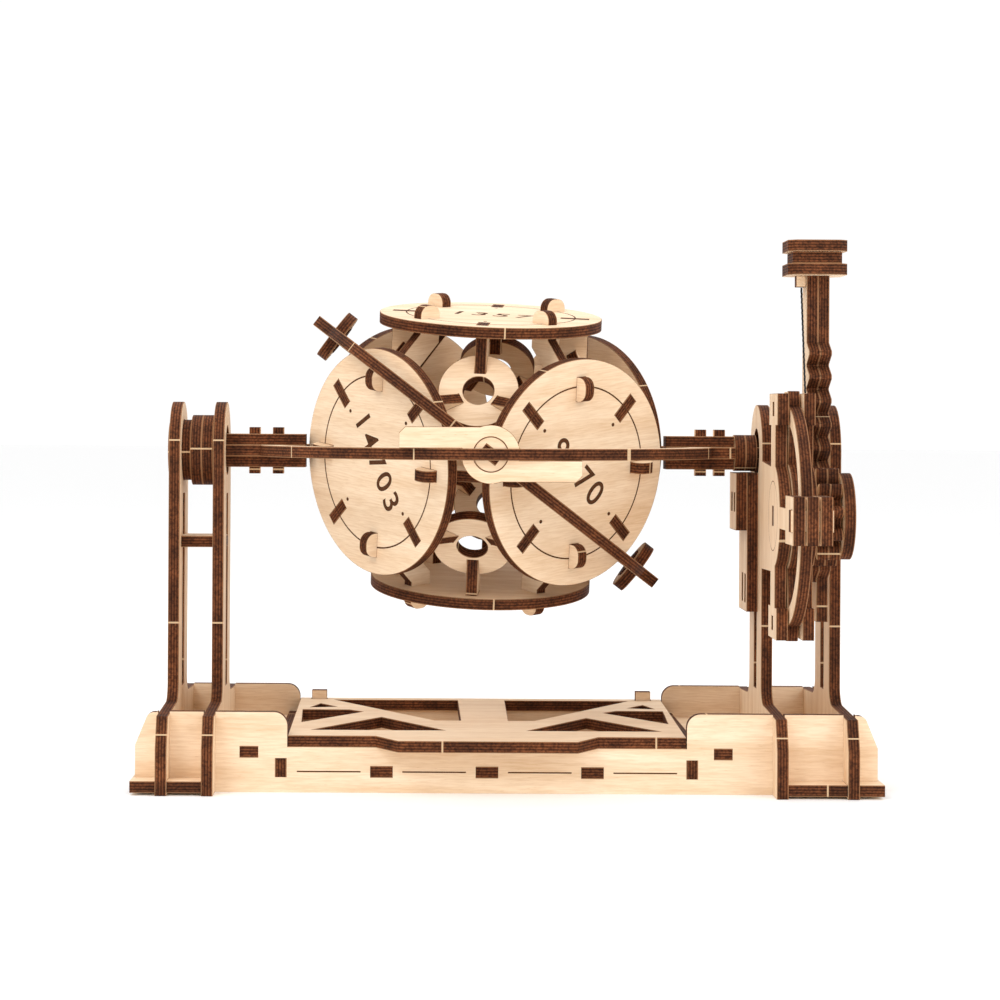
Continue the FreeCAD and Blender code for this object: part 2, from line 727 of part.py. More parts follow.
def build_corners(axes):
    """Eight corner rings and the three flush tabs that hold each one."""
    outline = box(size("tab_foot"), size("tab_low"), size("disc_reach") + HALF, size("tab_high"))
    tabs = []
    rings = []
    for sign_a in (1, -1):
        for sign_b in (1, -1):
            for sign_c in (1, -1):
                arms = [axes[0] * sign_a, axes[1] * sign_b, axes[2] * sign_c]
                diagonal = (arms[0] + arms[1] + arms[2]) * math.sqrt(1 / 3)
                across = (arms[0] - arms[1]) * math.sqrt(1 / 2)
                turn = frame_of(across, diagonal.cross(across))
                ring = [disc(0, 0, size("corner_r")), disc(0, 0, size("corner_hole_r"))]
                name = "ring_%d" % (len(rings) + 1)
                at = from_centre(diagonal, "corner_reach")
                rings.append(plate(name, "xy", [ring], at=at, turn=turn, keep=False))
                for step in range(3):
                    out = (arms[(step + 1) % 3] + arms[(step + 2) % 3]) * math.sqrt(1 / 2)
                    name = "tab_%d" % (len(tabs) + 1)
                    turn = frame_of(arms[step], out)
                    tabs.append(plate(name, "xy", [[outline]], at=CENTRE, turn=turn, keep=False))
    tab_node = group("corner_tabs", tabs)
    whole = doc.addObject("Part::Compound", "whole_rings")
    whole.Links = rings
    cut = doc.addObject("Part::Cut", "corner_rings")
    cut.Label = "corner_rings"
    cut.Base = whole
    cut.Tool = tab_node
    NODES.append(cut)


def build_pivots():
    """A pin on each side of the ball with a plug in the corner ring and a disc in the pole plate."""
    pin = size("pin_half")
    start = size("corner_reach") - HALF
    end = size("pivot_reach") + HALF
    across = SPIN_AXIS.cross(BACK)
    for name, sign in (("lower", 1), ("upper", -1)):
        out = SPIN_AXIS * sign
        bar = plate(name + "_pin", "xy", [[box(start, -pin, end, pin)]], at=CENTRE,
                    turn=frame_of(out, BACK), keep=False)
        hole = box(-pin, -HALF, pin, HALF)
        turn = frame_of(BACK, across)
        plug = plate(name + "_plug", "xy", [[disc(0, 0, size("corner_hole_r")), hole]],
                     at=from_centre(out, "corner_reach"), turn=turn, keep=False)
        end_disc = plate(name + "_end", "xy", [[disc(0, 0, size("hub_disc_r")), hole]],
                         at=from_centre(out, "pivot_reach"), turn=turn, keep=False)
        group(name + "_pivot", [bar, plug, end_disc])


# ---------------------------------------------------------------- gears and press

MODULE = size("module")
PRESSURE = math.radians(size("pressure"))
MESH_ANGLE = math.degrees(math.atan2(AXIS_Z - LAY_Z, -LAY_Y))


def involute(angle):
    """Involute function of a pressure angle in radians."""
    return math.tan(angle) - angle


def tooth(teeth, root, tip, centre, steps=6):
    """Points of one involute tooth about the origin, its middle at an angle in degrees."""
    pitch_r = MODULE * teeth / 2
    base = pitch_r * math.cos(PRESSURE)
    half = (math.pi * MODULE / 2 - size("tooth_slack")) / 2 / pitch_r
    start = max(root, base)
    flank = [] if root >= base else [(root, half + involute(PRESSURE))]
    for step in range(steps):
        r = start + (tip - start) * step / (steps - 1)
        spread = half + involute(PRESSURE) - involute(math.acos(min(1.0, base / r)))
        flank.append((r, spread))
    middle = math.radians(centre)
    rise = [(r * math.cos(middle - a), r * math.sin(middle - a)) for r, a in flank]
    fall = [(r * math.cos(middle + a), r * math.sin(middle + a)) for r, a in reversed(flank)]
    return rise + fall


def moved(points, y, z):
    """The same points carried to another centre."""
    return [(a + y, b + z) + tuple(v + w for v, w in zip(rest, (y, z))) for a, b, *rest in points]


def gear_outline(teeth, root, tip, phase):
    """A whole gear about the origin."""
    points = []
    for number in range(teeth):
        points += tooth(teeth, root, tip, phase + 360 * number / teeth)
    return points


def wheel_outline():
    """The large wheel: teeth round the back, a smooth rim round the front."""
    teeth = int(size("wheel_teeth"))
    rim = size("wheel_rim_r")
    tip = MODULE * teeth / 2 + size("wheel_addendum")
    pitch = 360 / teeth
    points = []
    for number in range(-teeth // 2, teeth // 2 + 1):
        centre = MESH_ANGLE + pitch * number
        if abs(centre) <= size("wheel_arc"):
            points += tooth(teeth, rim, tip, centre)
    start = points[0]
    points[0] = (start[0], start[1], -rim, 0)
    return moved(points, LAY_Y, LAY_Z)


def wheel_windows():
    """Four openings between the spokes of the large wheel."""
    windows = []
    for quarter in range(4):
        middle = math.radians(45 + 90 * quarter)
        wide = math.radians(33)
        small, large = 14.0, 24.0
        corners = []
        for r, a in ((small, -wide), (large, -wide), (large, wide), (small, wide)):
            corners.append((r * math.cos(middle + a), r * math.sin(middle + a)))
        corners[2] = corners[2] + (large * math.cos(middle), large * math.sin(middle))
        corners[0] = corners[0] + (small * math.cos(middle), small * math.sin(middle))
        windows.append(moved(corners, LAY_Y, LAY_Z))
    return windows


def rack_outline(low):
    """The toothed bar; its teeth face the rack pinion."""
    front = size("rack_front_y")
    back = size("rack_back_y")
    high = size("rack_high")
    pitch = math.pi * MODULE
    pitch_y = LAY_Y + MODULE * size("rack_teeth") / 2
    half = (pitch / 2 - size("tooth_slack")) / 2
    tip_y = pitch_y - size("rack_addendum")
    tip_half = half - size("rack_addendum") * math.tan(PRESSURE)
    root_half = half + (front - pitch_y) * math.tan(PRESSURE)
    points = [(back, low), (back, high), (front, high)]
    for number in range(int(size("rack_last")), int(size("rack_first")) - 1, -1):
        z = size("rack_tip_z") + pitch * number
        if z - root_half > low:
            points += [(front, z + root_half), (tip_y, z + tip_half), (tip_y, z - tip_half),
                       (front, z - root_half)]
    points.append((front, low))
    return points


def build_gears():
    """The sector wheel and rack pinion on the layshaft, and the pinion of the outer ring."""
    teeth = int(size("pinion_teeth"))
    tip = MODULE * teeth / 2 + size("pinion_addendum")
    phase = MESH_ANGLE + 180 + 180 / teeth
    outline = moved(gear_outline(teeth, size("pinion_root_r"), tip, phase), 0, AXIS_Z)
    plate("ring_pinion", "yz", [[outline, tongue_hole()]], at=("Sheet.wheel_x", 0, 0))
    shaft = box(LAY_Y - HALF, LAY_Z - 2.5, LAY_Y + HALF, LAY_Z + 2.5)
    plate("sector_wheel", "yz", [[wheel_outline(), shaft] + wheel_windows()], at=("Sheet.wheel_x", 0, 0))
    teeth = int(size("rack_teeth"))
    pitch_r = MODULE * teeth / 2
    nearest = size("rack_tip_z") + math.pi * MODULE * 11
    phase = math.degrees((nearest - LAY_Z) / pitch_r) + 180 / teeth
    outline = gear_outline(teeth, size("rack_root_r"), pitch_r + size("rack_addendum"), phase)
    outline = moved(outline, LAY_Y, LAY_Z)
    plies = []
    for side in ("left", "right"):
        at = ("Sheet.rack_%s_x" % side, 0, 0)
        plies.append(plate("pinion_" + side, "yz", [[outline, shaft]], at=at, keep=False))
    group("rack_pinion", plies)
    bushes = []
    for name, place_x in (("post_bush", "right_inner_x"), ("cheek_bush", "cheek_x")):
        outlines = [disc(LAY_Y, LAY_Z, size("bush_r")), shaft]
        bushes.append(plate(name, "yz", [outlines], at=("Sheet." + place_x, 0, 0), keep=False))
    group("layshaft_bushes", bushes)
    outlines = [disc(LAY_Y, LAY_Z, size("end_disc_r")), shaft]
    plate("end_disc", "yz", [outlines], at=("Sheet.end_disc_x", 0, 0))
    sheet_box("layshaft", ("Sheet.shaft_start", "Sheet.lay_y - Sheet.ply / 2", "Sheet.lay_z - 2.5"),
              ("Sheet.shaft_end - Sheet.shaft_start", "Sheet.ply", 5))


def clipped(half, clip):
    """A square outline with its corners cut off."""
    side = [(-half + clip, -half), (half - clip, -half)]
    points = []
    for quarter in range(4):
        c = round(math.cos(math.pi / 2 * quarter))
        s = round(math.sin(math.pi / 2 * quarter))
        points += [(a * c - b * s, a * s + b * c) for a, b in side]
    return points


def build_press():
    """The two rack plates, the three knob plates, the hook under them and the return thread."""
    plies = []
    for side in ("left", "right"):
        outline = rack_outline(size("rack_%s_low" % side))
        at = ("Sheet.rack_%s_x" % side, 0, 0)
        plies.append(plate("rack_" + side, "yz", [[outline]], at=at, keep=False))
    group("rack", plies)
    full = clipped(size("knob_half"), 2.0)
    small = clipped(6.5, 1.0)
    for step, (name, outline) in enumerate((("lower", full), ("middle", small), ("upper", full))):
        at = ("Sheet.knob_x", "Sheet.knob_y", "Sheet.knob_low_z + Sheet.knob_pitch * %d" % step)
        plate("knob_%s_plate" % name, "xy", [[outline]], at=at)
    sheet_box("knob_tab", (76.6, -20.5, 132.1), (2.6, "Sheet.ply", "Sheet.rack_high - 132.1"))
    top = FreeCAD.Vector(77.9, -19.0, 131.8)
    foot = FreeCAD.Vector(77.1, -37.0, 104.0)
    thread = doc.addObject("Part::Cylinder", "return_elastic")
    thread.Label = "return_elastic"
    thread.setExpression("Radius", "Sheet.thread_r")
    thread.Height = (top - foot).Length
    turn = FreeCAD.Rotation(FreeCAD.Vector(0, 0, 1), top - foot)
    place(thread, (foot.x, foot.y, foot.z), turn)
    NODES.append(thread)


def export_nodes():
    """Recompute, check every object and write one STEP file for each node."""
    doc.recompute()
    for thing in doc.Objects:
        assert "Invalid" not in thing.State and "Error" not in thing.State, thing.Label
    os.makedirs("parts", exist_ok=True)
    for node in NODES:
        assert not node.Shape.isNull() and node.Shape.isValid(), node.Label
        node.Shape.exportStep("parts/%s.step" % node.Label)
    print(len(NODES), "nodes")


build_base()
build_posts()
build_outer_ring()
build_inner_ring()
axes = ball_axes()
build_discs(axes)
build_connectors(axes)
build_corners(axes)
build_pivots()
build_gears()
build_press()
export_nodes()
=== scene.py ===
"""Looks for the hand-pressed plywood tumbler: birch faces, burnt edges, engraving and the thread."""
import math

import bmesh
import bpy
from mathutils import Matrix, Vector


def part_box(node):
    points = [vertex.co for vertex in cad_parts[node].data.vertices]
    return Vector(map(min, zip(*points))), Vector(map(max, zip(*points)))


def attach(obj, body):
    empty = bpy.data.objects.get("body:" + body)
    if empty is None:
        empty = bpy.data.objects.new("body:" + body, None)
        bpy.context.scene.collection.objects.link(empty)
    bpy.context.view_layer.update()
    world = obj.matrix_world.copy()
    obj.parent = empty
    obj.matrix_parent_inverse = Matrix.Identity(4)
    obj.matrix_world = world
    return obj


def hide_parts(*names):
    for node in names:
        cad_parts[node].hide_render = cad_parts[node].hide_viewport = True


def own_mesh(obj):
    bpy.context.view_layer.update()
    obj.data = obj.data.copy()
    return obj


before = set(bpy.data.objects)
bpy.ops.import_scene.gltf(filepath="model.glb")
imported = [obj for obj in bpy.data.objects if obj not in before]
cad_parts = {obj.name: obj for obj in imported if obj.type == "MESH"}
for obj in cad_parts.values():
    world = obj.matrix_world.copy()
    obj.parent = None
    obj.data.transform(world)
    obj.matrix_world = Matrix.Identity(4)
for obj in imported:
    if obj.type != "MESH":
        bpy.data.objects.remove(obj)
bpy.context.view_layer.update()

# Lengths are in millimetres and become metres where they meet Blender. Places are the frame's.
MM = 0.001
PLY = 3.0
MID_Y = 6.6
BALL_CENTRE = Vector((-5.0, MID_Y, 87.8))
INNER_ANGLE = math.radians(37.5)
BALL_SPIN = math.radians(-10.5)
DISC_FACE = 37.5
PANEL_FRONT = MID_Y - 38.5
PANEL_LINE_Z = 5.4

# Burnt edges: the nibs' pitch, start, width and slant, the glue lines, and where the outer veneer starts.
NIB_SPACING = 49.0
NIB_START = 61.0
NIB_WIDTH = 0.45
NIB_SKEW = 0.7
GLUE_PITCH = 0.75
RIM_FROM = 1.28

# Veneer: how far the grain is drawn out, and how far in metres each plate of a node is moved in it.
GRAIN_STRETCH = 12.0
PLATE_SHIFT = 0.173

# Rounding of the sharp edges, and the limits used to tell a plate's faces from its edges.
ROUNDING = 0.13
SHARP_ANGLE = math.radians(35)
SAME_DIRECTION = 0.999
FACE_DIRECTION = 0.9
THICKNESS_SLACK = 0.05

# Engraving on the discs: one number per disc, each turned by so many degrees from level.
ENGRAVE_LIFT = 0.02
ENGRAVE_DEPTH = 0.05
CIRCLE_RADIUS = 22.6
CIRCLE_WIDTH = 0.4
DOT_PLACE = 16.9
DOT_RADIUS = 0.5
NUMERAL_ROWS = ("1357", "2468", "14703", "5816", "258\n36914", "9270")
NUMERAL_TURN = (-14, -20, -64, -64, -42, -40)
NUMERAL_SIZE = 9.5
NUMERAL_SPACING = 1.25
NUMERAL_LINE = 0.9
NUMERAL_WEIGHT = 0.12

THREAD_STEPS = 60
THREAD_SIDES = 12
THREAD_RADIUS = 0.3
THREAD_TWIST = 40
LOBE_DEPTH = 0.16

LENS = 97.8
LENS_SHIFT = (0.078, -0.083)
CAMERA_PLACE = (-22.3, MID_Y - 740, 97.1)
CAMERA_ROLL = math.radians(-0.33)

# Linear colours; the patch, speck, grain and fleck colours multiply the ones under them.
WHITE = (1.0, 1.0, 1.0)
VENEER_DARK = (0.78, 0.57, 0.375)
VENEER_LIGHT = (0.90, 0.715, 0.52)
GRAIN_LINE = (0.80, 0.70, 0.58)
FLECK = (0.66, 0.50, 0.36)
CHAR_DARK = (0.058, 0.018, 0.006)
CHAR_LIGHT = (0.142, 0.050, 0.020)
PATCH_DARK = (0.56, 0.52, 0.50)
PATCH_LIGHT = (1.34, 1.26, 1.18)
SPECK_DARK = (0.35, 0.32, 0.30)
SPECK_LIGHT = (1.30, 1.25, 1.20)
RIM_VENEER = (0.34, 0.17, 0.08)
NIB_VENEER = (0.80, 0.56, 0.33)
ENGRAVED_BROWN = (0.11, 0.042, 0.016)
THREAD_BLACK = (0.02, 0.02, 0.022)


# ---------------------------------------------------------------- shader helpers

class Shader:
    """A material's node tree with short ways to add and link nodes."""

    def __init__(self, name):
        self.material = bpy.data.materials.new(name)
        self.material.use_nodes = True
        self.tree = self.material.node_tree
        self.bsdf = self.tree.nodes["Principled BSDF"]

    def add(self, kind, **inputs):
        """A node of this kind; keyword names are input names with spaces as underscores."""
        node = self.tree.nodes.new(kind)
        for key, value in inputs.items():
            self.put(node.inputs[key.replace("_", " ")], value)
        return node

    def put(self, socket, value):
        """Link an output to a socket, or set the socket's own value."""
        if isinstance(value, bpy.types.NodeSocket):
            self.tree.links.new(value, socket)
        else:
            socket.default_value = value

    def calc(self, operation, first, second=0.0, third=0.0):
        """One math node."""
        node = self.tree.nodes.new("ShaderNodeMath")
        node.operation = operation
        self.put(node.inputs[0], first)
        self.put(node.inputs[1], second)
        self.put(node.inputs[2], third)
        return node.outputs[0]

    def ramp(self, factor, stops):
        """A colour ramp from (position, colour) pairs."""
        node = self.tree.nodes.new("ShaderNodeValToRGB")
        self.put(node.inputs[0], factor)
        band = node.color_ramp
        while len(band.elements) < len(stops):
            band.elements.new(0.5)
        for element, (position, colour) in zip(band.elements, stops):
            element.position = position
            element.color = (*colour, 1.0)
        return node.outputs[0]

    def mix(self, factor, first, second, blend="MIX"):
        """A colour mix."""
        node = self.tree.nodes.new("ShaderNodeMix")
        node.data_type = "RGBA"
        node.blend_type = blend
        self.put(node.inputs[0], factor)
        for socket, value in ((node.inputs[6], first), (node.inputs[7], second)):
            self.put(socket, value if isinstance(value, bpy.types.NodeSocket) else (*value, 1.0))
        return node.outputs[2]

    def stored(self, name):
        """A value stored at the corners of the mesh."""
        node = self.tree.nodes.new("ShaderNodeAttribute")
        node.attribute_name = name
        return node

    def noise(self, scale, detail=3.0):
        """Even noise in the object's own space."""
        place = self.tree.nodes.new("ShaderNodeTexCoord").outputs["Object"]
        return self.noise_at(place, scale, detail)

    def grain(self, scale, detail):
        """Noise in the plate's own space, drawn out along the grain."""
        mapping = self.add("ShaderNodeMapping", Vector=self.stored("grain_place").outputs["Vector"])
        mapping.inputs["Scale"].default_value = (1.0, GRAIN_STRETCH, GRAIN_STRETCH)
        return self.noise_at(mapping.outputs[0], scale, detail)

    def noise_at(self, place, scale, detail):
        """Noise looked up at a place."""
        node = self.add("ShaderNodeTexNoise", Vector=place)
        node.inputs["Scale"].default_value = scale
        node.inputs["Detail"].default_value = detail
        return node.outputs[0]

    def surface(self, colour, roughness, specular):
        """Set the surface's colour, roughness and reflection."""
        self.put(self.bsdf.inputs["Base Color"], colour)
        self.bsdf.inputs["Roughness"].default_value = roughness
        self.bsdf.inputs["Specular IOR Level"].default_value = specular

    def bump(self, height, strength, distance):
        """Bump into the surface normal."""
        node = self.add("ShaderNodeBump", Height=height)
        node.inputs["Strength"].default_value = strength
        node.inputs["Distance"].default_value = distance
        self.put(self.bsdf.inputs["Normal"], node.outputs[0])


def birch_face(name):
    """Pale birch veneer with fine grain lines, broad colour drift and a few dark flecks."""
    s = Shader(name)
    broad = s.grain(18.0, 2.0)
    fine = s.grain(200.0, 5.0)
    fleck = s.grain(420.0, 2.0)
    base = s.ramp(broad, [(0.30, VENEER_DARK), (0.70, VENEER_LIGHT)])
    lines = s.ramp(fine, [(0.35, GRAIN_LINE), (0.62, WHITE)])
    dots = s.ramp(fleck, [(0.26, FLECK), (0.34, WHITE)])
    colour = s.mix(0.5, base, lines, "MULTIPLY")
    colour = s.mix(0.4, colour, dots, "MULTIPLY")
    s.surface(colour, 0.62, 0.25)
    s.bump(fine, 0.25, 0.0001)
    return s.material


def burnt_edge(name):
    """Laser-cut edge: charred plies with darker lines, lighter outer veneers and bright nib marks."""
    s = Shader(name)
    ply = s.calc("FRACT", s.calc("DIVIDE", s.stored("ply_depth").outputs["Fac"], PLY))
    across = s.calc("MULTIPLY", s.calc("SUBTRACT", ply, 0.5), PLY)
    wave = s.calc("SINE", s.calc("MULTIPLY", across, 2 * math.pi / GLUE_PITCH))
    layer = s.calc("MULTIPLY_ADD", wave, 0.5, 0.5)
    brown = s.ramp(layer, [(0.2, CHAR_DARK), (0.8, CHAR_LIGHT)])
    patch = s.ramp(s.noise(140.0), [(0.36, PATCH_DARK), (0.68, PATCH_LIGHT)])
    brown = s.mix(0.9, brown, patch, "MULTIPLY")
    speck = s.ramp(s.noise(1500.0), [(0.36, SPECK_DARK), (0.60, SPECK_LIGHT)])
    brown = s.mix(0.8, brown, speck, "MULTIPLY")
    rim = s.calc("GREATER_THAN", s.calc("ABSOLUTE", across), RIM_FROM)
    brown = s.mix(s.calc("MULTIPLY", rim, 0.7), brown, RIM_VENEER)
    run = s.calc("ADD", s.stored("edge_run").outputs["Fac"], NIB_START)
    saw = s.calc("FRACT", s.calc("DIVIDE", run, NIB_SPACING))
    tick = s.calc("LESS_THAN", saw, NIB_WIDTH / NIB_SPACING)
    brown = s.mix(s.calc("MULTIPLY", tick, 0.7), brown, NIB_VENEER)
    s.surface(brown, 0.7, 0.12)
    s.bump(layer, 0.35, 0.0001)
    return s.material


def plain(name, colour, roughness, grain):
    """A single dark material with fine variation."""
    s = Shader(name)
    darker = tuple(part * 0.55 for part in colour)
    s.surface(s.ramp(s.noise(grain), [(0.3, darker), (0.7, colour)]), roughness, 0.15)
    s.bump(s.noise(grain * 2), 0.3, 0.00005)
    return s.material


FACE = birch_face("birch_face")
EDGE = burnt_edge("burnt_edge")
ENGRAVED = plain("engraved_line", ENGRAVED_BROWN, 0.85, 900.0)
THREAD = plain("black_thread", THREAD_BLACK, 0.6, 2500.0)


# ---------------------------------------------------------------- plates from the frame

def islands(mesh):
    """Polygon lists of the separate solids; split corners at one place count as joined."""
    parent = {}

    def find(key):
        while parent[key] != key:
            parent[key] = parent[parent[key]]
            key = parent[key]
        return key

    keys = [tuple(round(c / MM, 2) for c in v.co) for v in mesh.vertices]
    for key in keys:
        parent.setdefault(key, key)
    for polygon in mesh.polygons:
        first = find(keys[polygon.vertices[0]])
        for index in polygon.vertices[1:]:
            parent[find(keys[index])] = first
    groups = {}
    for polygon in mesh.polygons:
        groups.setdefault(find(keys[polygon.vertices[0]]), []).append(polygon)
    return groups.values()


def plate_normal(polygons, corners):
    """The direction with the most area, of those the plate is one ply thick along if there are any."""
    totals = []
    for polygon in polygons:
        for entry in totals:
            if abs(entry[0].dot(polygon.normal)) > SAME_DIRECTION:
                entry[1] += polygon.area
                break
        else:
            totals.append([polygon.normal.copy(), polygon.area])
    thin = []
    for normal, area in totals:
        heights = [corner.dot(normal) / MM for corner in corners]
        if abs(max(heights) - min(heights) - PLY) < THICKNESS_SLACK:
            thin.append((normal, area))
    return max(thin or totals, key=lambda entry: entry[1])[0]


def grain_axes(normal, wish):
    """The grain direction of a plate, as near as it can lie to the wished one, and the one across."""
    along = wish - normal * wish.dot(normal)
    if along.length < 0.3:
        along = Vector((0, 1, 0)).cross(normal)
    along.normalize()
    return along, normal.cross(along)


def nib_direction(normal):
    """The slanted direction in a plate along which the nib marks are spaced."""
    along = Vector((0, 1, 0)).cross(normal)
    if along.length < 0.5:
        along = Vector((1, 0, 0)) - normal * normal.x
    along.normalize()
    return along + normal.cross(along) * NIB_SKEW


def store_places(mesh, indices, normal, wish, shift):
    """Store each corner's height in its plate, its run along the edge and its place in the grain."""
    along = nib_direction(normal)
    grain, across = grain_axes(normal, wish)
    heights = {index: mesh.vertices[index].co.dot(normal) / MM for index in indices}
    lowest = min(heights.values())
    for index, height in heights.items():
        co = mesh.vertices[index].co
        place = (co.dot(grain) + shift, co.dot(across) + shift, co.dot(normal))
        mesh.attributes["ply_depth"].data[index].value = height - lowest
        mesh.attributes["edge_run"].data[index].value = co.dot(along) / MM
        mesh.attributes["grain_place"].data[index].vector = place


def soften(node):
    """Round the sharp edges a little, with the rounding burnt like the edge, and keep faces flat."""
    if "custom_normal" in node.data.attributes:
        node.data.attributes.remove(node.data.attributes["custom_normal"])
    weld = node.modifiers.new("weld", "WELD")
    weld.merge_threshold = 0.001 * MM
    bevel = node.modifiers.new("soft_edges", "BEVEL")
    bevel.width = ROUNDING * MM
    bevel.segments = 2
    bevel.limit_method = "ANGLE"
    bevel.angle_limit = SHARP_ANGLE
    bevel.material = 1
    node.modifiers.new("flat_shading", "WEIGHTED_NORMAL").keep_sharp = True


def dress(node, wish):
    """Give a CAD node face and edge materials, each corner's place in its plate, and softened corners."""
    mesh = node.data
    for name, kind in (("ply_depth", "FLOAT"), ("edge_run", "FLOAT"), ("grain_place", "FLOAT_VECTOR")):
        mesh.attributes.new(name, kind, "POINT")
    mesh.materials.clear()
    mesh.materials.append(FACE)
    mesh.materials.append(EDGE)
    for plate, polygons in enumerate(islands(mesh)):
        indices = sorted({index for polygon in polygons for index in polygon.vertices})
        normal = plate_normal(polygons, [mesh.vertices[index].co for index in indices])
        store_places(mesh, indices, normal, wish, PLATE_SHIFT * plate)
        for polygon in polygons:
            is_face = abs(polygon.normal.dot(normal)) > FACE_DIRECTION
            polygon.material_index = 0 if is_face else 1
            polygon.use_smooth = True
    soften(node)


UPRIGHT_GRAIN = ("left_outer_post", "left_inner_post", "right_inner_post", "right_outer_post", "rack",
                 "outer_cheek", "post_stiffeners", "sector_wheel", "rack_pinion", "end_disc")

for name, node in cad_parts.items():
    if name != "return_elastic":
        dress(node, Vector((0, 0, 1)) if name in UPRIGHT_GRAIN else Vector((1, 0, 0)))


# ---------------------------------------------------------------- engraving

def mesh_piece(name, build, place, body, material):
    """A mesh made by build(bm) in millimetres, placed by a matrix and riding on a body."""
    bm = bmesh.new()
    build(bm)
    mesh = bpy.data.meshes.new(name)
    bm.to_mesh(mesh)
    bm.free()
    mesh.transform(Matrix.Scale(MM, 4) @ place)
    mesh.materials.append(material)
    piece = bpy.data.objects.new(name, mesh)
    bpy.context.scene.collection.objects.link(piece)
    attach(piece, body)
    return piece


def add_ring(bm, radius, width, steps=96):
    """A thin closed band about the origin, its top just above the surface."""
    loops = []
    for r, z in ((radius, -ENGRAVE_DEPTH), (radius + width, -ENGRAVE_DEPTH),
                 (radius + width, ENGRAVE_LIFT), (radius, ENGRAVE_LIFT)):
        turn = [2 * math.pi * step / steps for step in range(steps)]
        loops.append([bm.verts.new((r * math.cos(a), r * math.sin(a), z)) for a in turn])
    for index in range(4):
        inner = loops[index]
        outer = loops[(index + 1) % 4]
        for step in range(steps):
            after = (step + 1) % steps
            bm.faces.new((inner[step], inner[after], outer[after], outer[step]))
    bmesh.ops.recalc_face_normals(bm, faces=bm.faces)


def add_dot(bm, x, y, radius, steps=20):
    """A small filled spot with a rim that dips below the surface."""
    turn = [2 * math.pi * step / steps for step in range(steps)]
    top = [bm.verts.new((x + radius * math.cos(a), y + radius * math.sin(a), ENGRAVE_LIFT)) for a in turn]
    low = [bm.verts.new((v.co.x, v.co.y, -ENGRAVE_DEPTH)) for v in top]
    bm.faces.new(top)
    bm.faces.new(list(reversed(low)))
    for step in range(steps):
        after = (step + 1) % steps
        bm.faces.new((low[step], low[after], top[after], top[step]))


def add_bar(bm, x0, x1, y0, y1):
    """A thin engraved rectangle."""
    corners = [(x0, y0), (x1, y0), (x1, y1), (x0, y1)]
    low = [bm.verts.new((x, y, -ENGRAVE_DEPTH)) for x, y in corners]
    top = [bm.verts.new((x, y, ENGRAVE_LIFT)) for x, y in corners]
    bm.faces.new(top)
    bm.faces.new(list(reversed(low)))
    for step in range(4):
        after = (step + 1) % 4
        bm.faces.new((low[step], low[after], top[after], top[step]))


def axes_matrix(origin, x_axis, y_axis):
    """Matrix that carries a flat drawing onto a plane in the row frame, in millimetres."""
    z_axis = x_axis.cross(y_axis)
    matrix = Matrix((x_axis, y_axis, z_axis)).transposed().to_4x4()
    matrix.translation = origin
    return matrix


def ball_axes():
    """The three disc directions, as the part's source works them out."""
    up = Vector((-math.cos(INNER_ANGLE), 0, math.sin(INNER_ANGLE)))
    side = Vector((math.sin(INNER_ANGLE), 0, math.cos(INNER_ANGLE)))
    back = Vector((0, 1, 0))
    spin = Matrix.Rotation(BALL_SPIN, 3, up)
    axes = []
    for number in range(3):
        angle = 2 * math.pi * number / 3
        round_axis = side * math.cos(angle) - back * math.sin(angle)
        axes.append(spin @ (up * math.sqrt(1 / 3) + round_axis * math.sqrt(2 / 3)))
    return axes


def level_direction(normal):
    """The level direction in a disc, for its number; the line of X where the disc itself lies level."""
    level = Vector((0, 0, 1)).cross(normal)
    if level.length < 0.3:
        level = Vector((1, 0, 0)) - normal * normal.x
    return level.normalized()


def numeral(text, place, name):
    """A generic number burnt into the middle of a disc."""
    curve = bpy.data.curves.new(name + "_curve", "FONT")
    curve.body = text
    curve.size = NUMERAL_SIZE
    curve.space_character = NUMERAL_SPACING
    curve.space_line = NUMERAL_LINE
    curve.offset = NUMERAL_WEIGHT
    curve.align_x = "CENTER"
    curve.align_y = "CENTER"
    curve.extrude = ENGRAVE_LIFT
    source = bpy.data.objects.new(name + "_source", curve)
    bpy.context.scene.collection.objects.link(source)
    bpy.context.view_layer.update()
    shape = bpy.data.meshes.new_from_object(source)
    bpy.data.objects.remove(source)

    def build(bm):
        bm.from_mesh(shape)

    mesh_piece(name, build, place, "ball", ENGRAVED)


def engrave_disc(number, normal, across):
    """A circle, four dots and a number on one face disc."""
    face = BALL_CENTRE + normal * DISC_FACE

    def build(bm):
        add_ring(bm, CIRCLE_RADIUS, CIRCLE_WIDTH)
        for quarter in range(4):
            angle = math.radians(45 + 90 * quarter)
            add_dot(bm, DOT_PLACE * math.cos(angle), DOT_PLACE * math.sin(angle), DOT_RADIUS)

    place = axes_matrix(face, across, normal.cross(across))
    mesh_piece("disc_lines_%d" % number, build, place, "ball", ENGRAVED)
    turn = Matrix.Rotation(math.radians(NUMERAL_TURN[number - 1]), 3, normal)
    level = turn @ level_direction(normal)
    place = axes_matrix(face, level, normal.cross(level))
    numeral(NUMERAL_ROWS[number - 1], place, "disc_number_%d" % number)


def engrave_discs():
    """The two opposite discs of each axis, one after the other."""
    axes = ball_axes()
    for index, axis in enumerate(axes):
        across = axes[(index + 1) % len(axes)]
        engrave_disc(2 * index + 1, axis, across)
        engrave_disc(2 * index + 2, -axis, across)


